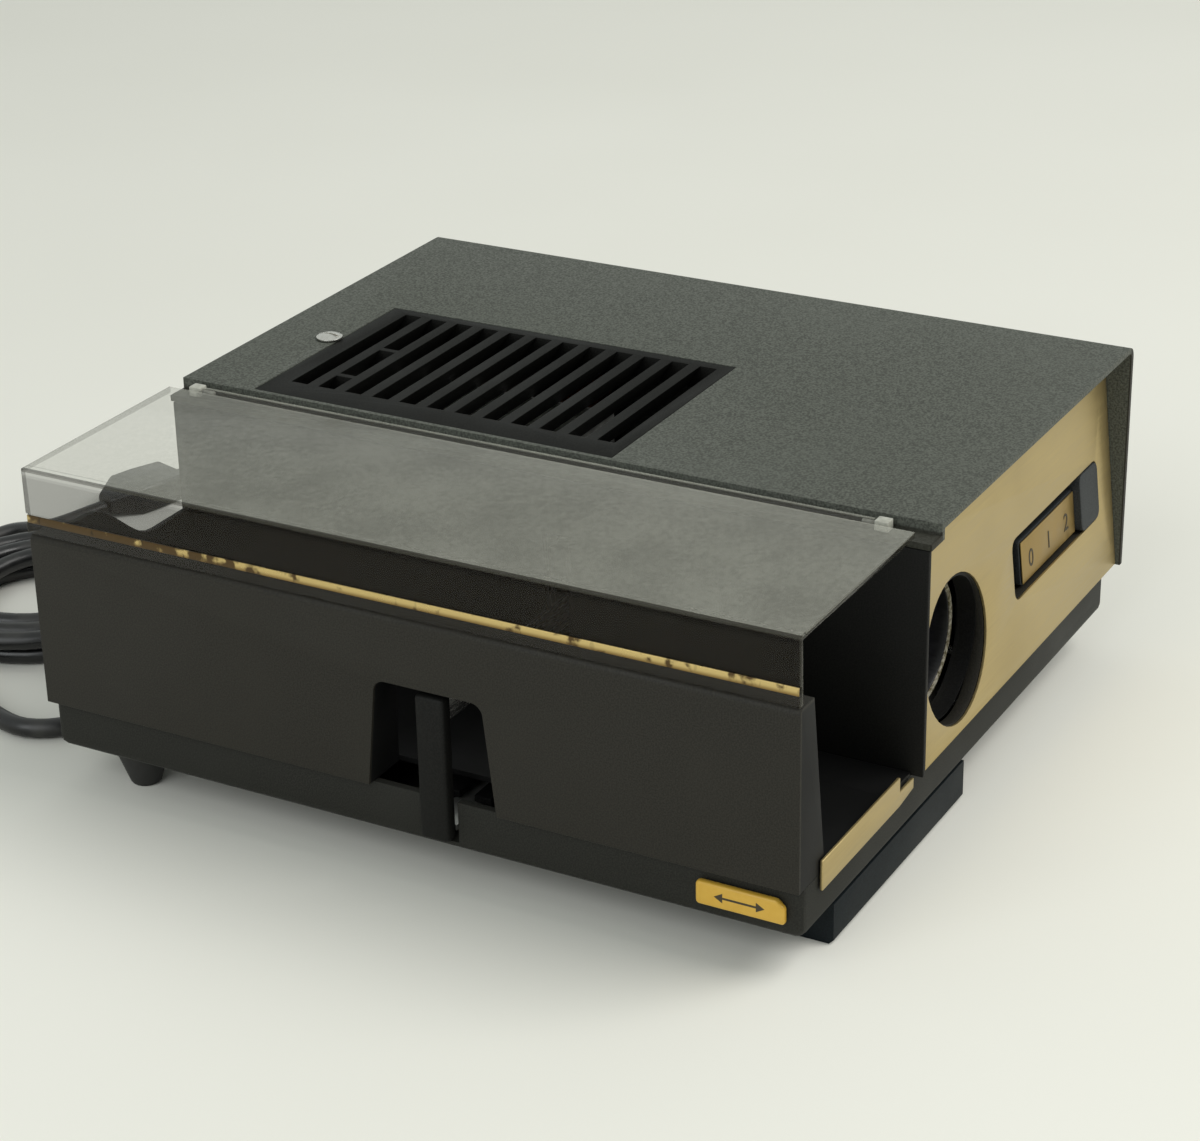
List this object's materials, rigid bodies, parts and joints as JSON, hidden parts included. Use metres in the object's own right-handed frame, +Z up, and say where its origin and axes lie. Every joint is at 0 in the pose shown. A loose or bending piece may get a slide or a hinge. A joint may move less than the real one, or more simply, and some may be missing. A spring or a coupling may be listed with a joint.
{
  "type": "slide projector",
  "caption": "Low slide projector with a clear lid over a straight-tray channel, gold lens front, louvred lamp cover, hand slide changer, focus tab, tilt foot and mains cord.",
  "frame": {"origin": "on the surface it stands on, under the middle of the projector's body (the cord is left out)", "axes": "+Z up; -Y the way the lens looks; -X the side with the slide tray channel and its lid"},
  "size_m": [0.249, 0.4051, 0.1129],
  "materials": {
    "cover_paint": "fine textured dark grey paint",
    "dark_plastic": "fine-grained dark brown-grey moulding",
    "black_plastic": "matte black moulding",
    "gold_sheet": "champagne anodised, brushed",
    "zinc_steel": "zinc plated",
    "bright_steel": "nickel plated and ground",
    "rubber": "matte black",
    "glass": "clear",
    "smoked_acrylic": "smoked, see-through",
    "lens_black": "black anodised",
    "yellow_plastic": "satin yellow",
    "iron": "varnished laminations",
    "winding": "varnished copper winding",
    "ceramic": "unglazed ceramic",
    "mirror": "silvered"
  },
  "bodies": {
    "projector": {"base_pan": "dark_plastic", "base_screw_1": "zinc_steel", "base_screw_2": "zinc_steel", "base_screw_3": "zinc_steel", "base_screw_4": "zinc_steel", "rear_foot_near": "rubber", "rear_foot_far": "rubber", "tilt_foot_pin": "bright_steel", "chassis_plate": "zinc_steel", "tray_casing": "dark_plastic", "channel_end_wall": "dark_plastic", "channel_wall": "dark_plastic", "channel_front_plate": "gold_sheet", "top_cover": "cover_paint", "vent_grille": "black_plastic", "grille_screw": "bright_steel", "rear_panel": "dark_plastic", "front_panel": "gold_sheet", "front_backing": "dark_plastic", "switch_housing": "black_plastic", "lid_post_front": "black_plastic", "lid_post_rear": "black_plastic", "changer_guide": "black_plastic", "slide_gate": "black_plastic", "lens_rod_lower": "bright_steel", "lens_rod_upper": "bright_steel", "rod_bracket": "zinc_steel", "lamp_house": "zinc_steel", "lamp_socket": "ceramic", "lamp": "glass", "reflector": "mirror", "condenser_front": "glass", "condenser_rear": "glass", "heat_glass": "glass", "condenser_cradle": "zinc_steel", "fan_motor": "iron", "motor_bracket": "zinc_steel", "transformer_core": "iron", "transformer_winding": "winding", "strain_relief": "rubber", "cord_lead": "rubber", "cord_coil": "rubber", "mains_plug": "black_plastic"},
    "lid_body": {"lid": "smoked_acrylic", "lid_trim": "gold_sheet"},
    "slide_changer": {"changer_handle": "dark_plastic", "changer_arm": "zinc_steel", "pusher_blade": "bright_steel"},
    "lens": {"focus_tab": "yellow_plastic", "focus_arm": "zinc_steel", "lens_carriage": "black_plastic", "lens_barrel": "lens_black", "lens_front_element": "glass", "lens_rear_element": "glass"},
    "power_slider": {"switch_slider": "black_plastic", "legend_plate": "gold_sheet"},
    "front_flap": {"tilt_foot": "black_plastic"},
    "fan": {"fan_impeller": "black_plastic", "fan_shaft": "bright_steel"},
    "advance_gear": {"tray_gear": "black_plastic"}
  },
  "joints": [
    {"name": "lid_hinge", "type": "hinge", "parent": "projector", "child": "lid_body", "pos_m": [-0.043, 0, 0.1093], "axis": [0, 1, 0], "range_deg": [0, 105]},
    {"name": "slide_changer_slide", "type": "slide", "parent": "projector", "child": "slide_changer", "axis": [-1, 0, 0], "range_m": [0, 0.068]},
    {"name": "focus_slide", "type": "slide", "parent": "projector", "child": "lens", "axis": [0, -1, 0], "range_m": [-0.005, 0.005]},
    {"name": "power_switch_slide", "type": "slide", "parent": "projector", "child": "power_slider", "axis": [-1, 0, 0], "range_m": [0, 0.007]},
    {"name": "tilt_foot_hinge", "type": "hinge", "parent": "projector", "child": "front_flap", "pos_m": [-0.04975, -0.107, 0.0092], "axis": [1, 0, 0], "range_deg": [0, 35]},
    {"name": "fan_spin", "type": "hinge", "parent": "projector", "child": "fan", "pos_m": [0.018, 0.062, 0.064], "axis": [1, 0, 0], "continuous": true},
    {"name": "tray_gear_spin", "type": "hinge", "parent": "projector", "child": "advance_gear", "pos_m": [-0.055, -0.035, 0.0272], "axis": [1, 0, 0], "continuous": true}
  ]
}
